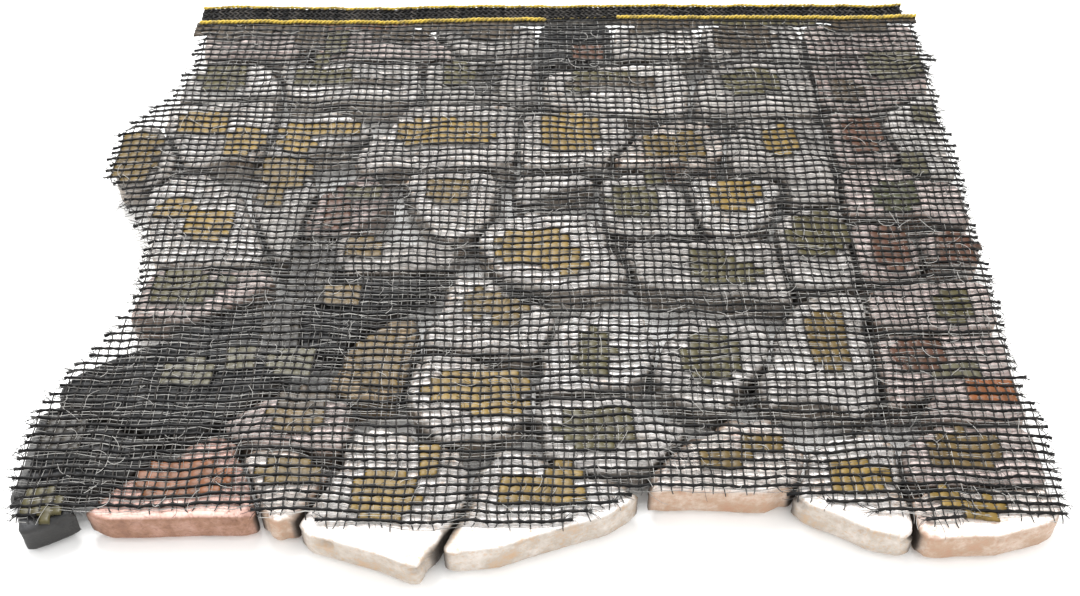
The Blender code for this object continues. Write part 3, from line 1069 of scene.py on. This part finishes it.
chance = random.Random(57)
bristles = []
for row, first, last in row_runs:
    for at, side, reach in ((first, math.pi, LEFT_REACH_MM), (last, 0.0, RIGHT_REACH_MM)):
        for _ in range(chance.randint(6, 11)):
            droop = chance.uniform(-1.6, 0.9) * MM
            heading = side + chance.gauss(0.0, 0.45)
            length = reach * chance.uniform(0.4, 1.25)
            bend = chance.gauss(0.0, 1.0)
            bristles.append(curl(crossing[row, at], heading, length, bend, 0.0, droop))
stubs = []
for column, _, last in column_runs:
    droop = chance.uniform(-1.2, 0.3) * MM
    heading = math.pi / 2 + chance.gauss(0.0, 0.25)
    length = chance.uniform(1.2, 3.6)
    bend = chance.gauss(0.0, 0.5)
    stubs.append(curl(crossing[last, column], heading, length, bend, 0.0, droop))
strays = []
# The strays' shades make some of them paler: painted sheen.
stray_sheen_shares = []
while len(strays) < STRAY_COUNT:
    root = (chance.uniform(-158.0, 155.0), chance.uniform(9.0, 252.0))
    if not over_net(*root):
        continue
    above = chance.uniform(0.2, 0.8) * MM
    heading = chance.choice((0.0, math.pi / 2)) + chance.gauss(0.0, 0.6)
    length = chance.uniform(2.5, 9.0)
    bend = chance.gauss(0.0, 1.6)
    strays.append(curl(root, heading, length, bend, above, above))
    stray_sheen_shares.append(chance.choice((0.0, 0.1, 0.5, 1.0)))
loose_meshes = [
    threads(
        "bristles", bristles, CUT_SHADE, filament_plastic,
        radius=BRISTLE_RADIUS, wobble=0.5 * MM, sides=3, seed=7.0, taper=0.5,
    ),
    threads(
        "stubs", stubs, CUT_SHADE, filament_plastic,
        radius=FILAMENT_RADIUS, wobble=0.3 * MM, sides=4, seed=8.0, taper=0.3,
    ),
    threads(
        "strays", strays, stray_sheen_shares, filament_plastic,
        radius=0.1 * MM, wobble=0.6 * MM, sides=3, seed=9.0, taper=0.3,
    ),
]
loose_mesh = joined("loose_filaments", loose_meshes)
loose = new_piece("loose_filaments", loose_mesh, *[filament_plastic] * len(loose_meshes))
print("loose filaments:", len(bristles), "bristles,", len(stubs), "stubs,", len(strays), "strays")

# %% [markdown]
# ## Glue
#
# Each dab of glue was pressed into the net while it was wet, so it fills whole meshes and stands in
# each as a small glossy dome, with the threads in the valleys between. It is polyester resin: tinted
# yellow to brown, slightly clouded, and glossy where it is not dusty. One closed sheet of small
# faces over the filled meshes, domed mesh by mesh, gives the dabs their stepped outlines.

# %% Glue mesh
GLUE_PARTS = 4
DOME = 0.34 * MM
VALLEY = -0.2 * MM
GLUE_DEPTH = 0.7 * MM
GLUE_CLOUD_MM = 5.0
FLOUR_MM = 1.3


def dome_height(u, v):
    """Height in one mesh of the net, from 0 at its threads to 1 in the middle."""
    return (1 - abs(2 * u - 1) ** 3) * (1 - abs(2 * v - 1) ** 3)


def glue_mesh():
    """All the dabs as one mesh, with the colour of each dab at its points."""
    sheet = bmesh.new()
    points = {}
    colours = []
    for row in range(ROWS - 1):
        for column in range(COLUMNS - 1):
            centre = crossing[row : row + 2, column : column + 2].reshape(4, 2).mean(0)
            inside, tint = glue_at(*centre)
            if inside <= 0.0:
                continue
            swell = chance.uniform(0.75, 1.25)
            for i in range(GLUE_PARTS):
                for j in range(GLUE_PARTS):
                    ring = []
                    for di, dj in ((0, 0), (1, 0), (1, 1), (0, 1)):
                        u, v = (j + dj) / GLUE_PARTS, (i + di) / GLUE_PARTS
                        key = (row * GLUE_PARTS + i + di, column * GLUE_PARTS + j + dj)
                        if key not in points:
                            far, near = (
                                crossing[at, column] * (1 - u) + crossing[at, column + 1] * u
                                for at in (row, row + 1)
                            )
                            place = far * (1 - v) + near * v
                            rise = VALLEY + DOME * swell * dome_height(u, v)
                            points[key] = sheet.verts.new(placed(*place, CHAIN_LIFT + rise))
                            colours.append(linear(GLUE_TINTS[tint]))
                        ring.append(points[key])
                    sheet.faces.new(ring)
    bmesh.ops.recalc_face_normals(sheet, faces=sheet.faces[:])
    mesh = bpy.data.meshes.new("glue_top")
    sheet.to_mesh(mesh)
    sheet.free()
    set_attribute(mesh, "tint", colours, "FLOAT_COLOR")
    return mesh


def thickened(mesh, depth):
    """The sheet as a closed body, that much deeper."""
    holder = new_object("glue", mesh)
    solid = holder.modifiers.new("depth", "SOLIDIFY")
    solid.thickness = depth
    solid.offset = -1.0
    return modified(holder)


# %% Glue material
def glue_material():
    """Hardened polyester resin: tinted, clouded inside and glossy on its domes."""
    material, add, shader, place = new_material("polyester resin, hardened in the net", 0.45, 1.56)
    shader.inputs["Specular IOR Level"].default_value = 0.22
    shader.inputs["Coat Weight"].default_value = 0.05
    shader.inputs["Coat Roughness"].default_value = 0.25
    tint = add("Attribute", {"attribute_name": "tint"}).outputs["Color"]
    cloud = add(
        "TexNoise", {"Scale": 1 / (GLUE_CLOUD_MM * MM), "Detail": 5.0, "Roughness": 0.65},
        {"Vector": place})
    depth = add("MapRange", {"From Min": 0.35, "From Max": 0.65, "To Max": 0.55}, {"Value": cloud})
    deeper = add("Mix", {"data_type": "RGBA", 7: linear("#241b0a")}, {0: depth, 6: tint})
    flour = add(
        "TexNoise", {"Scale": 1 / (FLOUR_MM * MM), "Detail": 3.0, "Roughness": 0.7},
        {"Vector": place})
    dust_and_joint_shade = add("MapRange", {"From Min": 0.55, "From Max": 0.75, "To Max": 0.16}, {"Value": flour})
    colour = add(
        "Mix", {"data_type": "RGBA", 7: linear("#85795a")}, {0: dust_and_joint_shade, 6: deeper.outputs[2]})
    bump = add("Bump", {"Strength": 0.35, "Distance": 0.0002}, {"Height": flour})
    dress(shader, colour, bump)
    return material


# %% Lay the glue
top = glue_mesh()
body = thickened(top, GLUE_DEPTH)
body.shade_smooth()
glue = new_piece("glue_dabs", body, glue_material())
print("glue:", len(glue.data.polygons), "faces")

# %% [markdown]

# %% [markdown]
# ## Floor and light
#
# The sheet lies on plain pale paper under soft studio light: an even white surround, a large lamp
# behind on the left that draws the threads' gloss, and a weaker one in front on the right.

# %% The floor and the light
REACH = 3.0
WORLD_STRENGTH = 1.4

floor_mesh = bpy.data.meshes.new("floor")
corners = [(x * REACH, y * REACH, 0.0) for x, y in ((-1, -1), (1, -1), (1, 1), (-1, 1))]
floor_mesh.from_pydata(corners, [], [(0, 1, 2, 3)])
floor = new_object("floor", floor_mesh)
paper, add, shader, place = new_material("studio paper, matt", 0.9)
cloudy = add("TexNoise", {"Scale": 3.0}, {"Vector": place})
pale = add("Mix", {"data_type": "RGBA", 6: linear("#f4f4f3"), 7: linear("#f8f8f7")}, {0: cloudy})
dress(shader, pale)
floor_mesh.materials.append(paper)
floor.location.z = -0.02 * MM

world = bpy.data.worlds.new("soft studio")
bpy.context.scene.world = world
world.use_nodes = True
background = world.node_tree.nodes["Background"].inputs
background["Color"].default_value = (1.0, 1.0, 1.0, 1.0)
background["Strength"].default_value = WORLD_STRENGTH


def soft_light(name, place, size, power):
    """A square area light at a place, turned to the middle of the sheet."""
    lamp = bpy.data.lights.new(name, "AREA")
    lamp.size = size
    lamp.energy = power
    holder = new_object(name, lamp)
    holder.location = place
    holder.rotation_euler = (-Vector(place)).to_track_quat("-Z", "Y").to_euler()


soft_light("key", place=(-0.2, 0.5, 0.95), size=0.5, power=18.0)
soft_light("fill", place=(0.5, -0.6, 1.0), size=0.8, power=2.0)
bpy.context.scene.view_settings.view_transform = "Standard"
